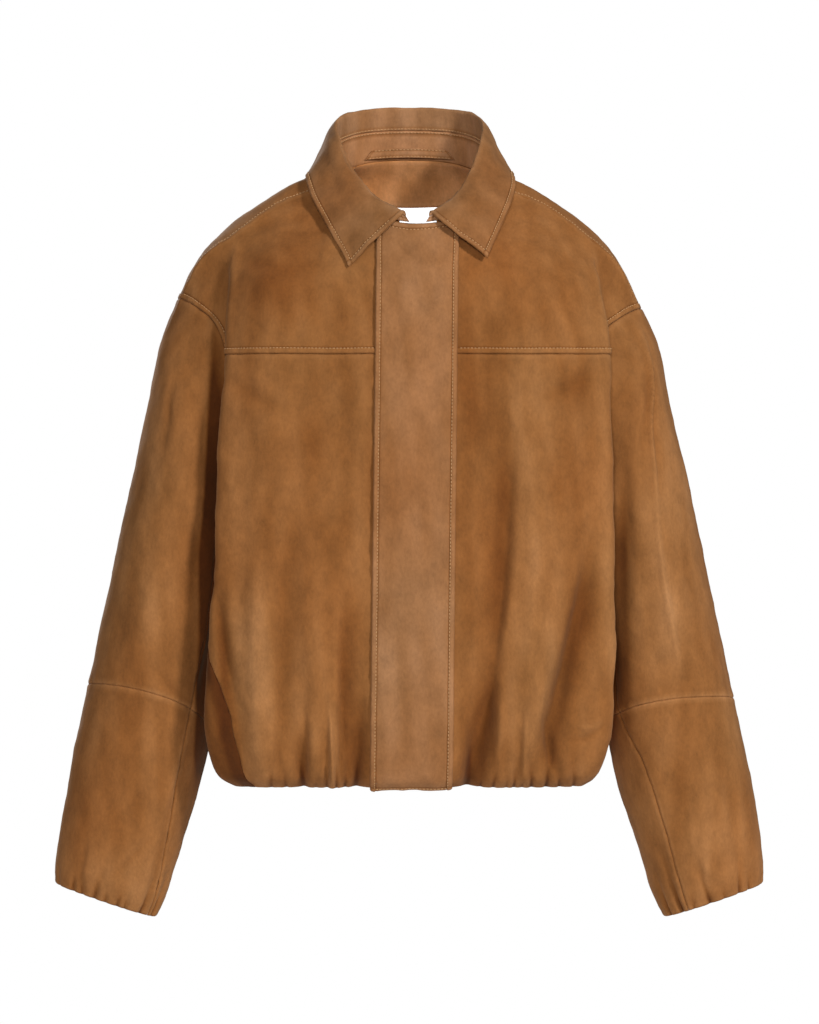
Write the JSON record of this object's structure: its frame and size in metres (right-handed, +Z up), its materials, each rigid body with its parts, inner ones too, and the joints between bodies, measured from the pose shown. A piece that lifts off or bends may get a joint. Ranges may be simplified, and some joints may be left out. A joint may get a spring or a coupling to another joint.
{
  "type": "suede jacket",
  "caption": "Cropped suede blouson jacket with a pointed collar, covered zip front, dropped sleeves, and gathered cuffs and hem, filled out and hollow.",
  "frame": {"origin": "the middle of the neck opening, level with the neck points of the shoulder seams, where the wearer's neck carries the jacket", "axes": "+X towards the wearer's left sleeve, -Y out of the front, +Z up"},
  "size_m": [0.6717, 0.2345, 0.774],
  "materials": {
    "suede": "napped suede, matte",
    "suede_band": "napped suede, matte, a little lighter",
    "suede_inside": "flesh side of the suede, matte",
    "label_cloth": "plain woven tape, blank",
    "zip_tape": "woven tape, dark brown",
    "zip_steel": "brushed"
  },
  "bodies": {
    "root": {"back_panel": "suede", "front_yoke_right": "suede", "front_yoke_left": "suede", "front_panel_right": "suede", "front_panel_left": "suede", "front_band": "suede_band", "zip_tape": "zip_tape", "zip_slider": "zip_steel", "collar_stand": "suede", "collar_fall": "suede", "back_neck_facing": "suede_inside", "hanger_loop": "suede_inside", "neck_label": "label_cloth", "sleeve_upper_top_right": "suede", "sleeve_upper_under_right": "suede", "sleeve_lower_top_right": "suede", "sleeve_lower_under_right": "suede", "sleeve_upper_top_left": "suede", "sleeve_upper_under_left": "suede", "sleeve_lower_top_left": "suede", "sleeve_lower_under_left": "suede"}
  },
  "joints": []
}
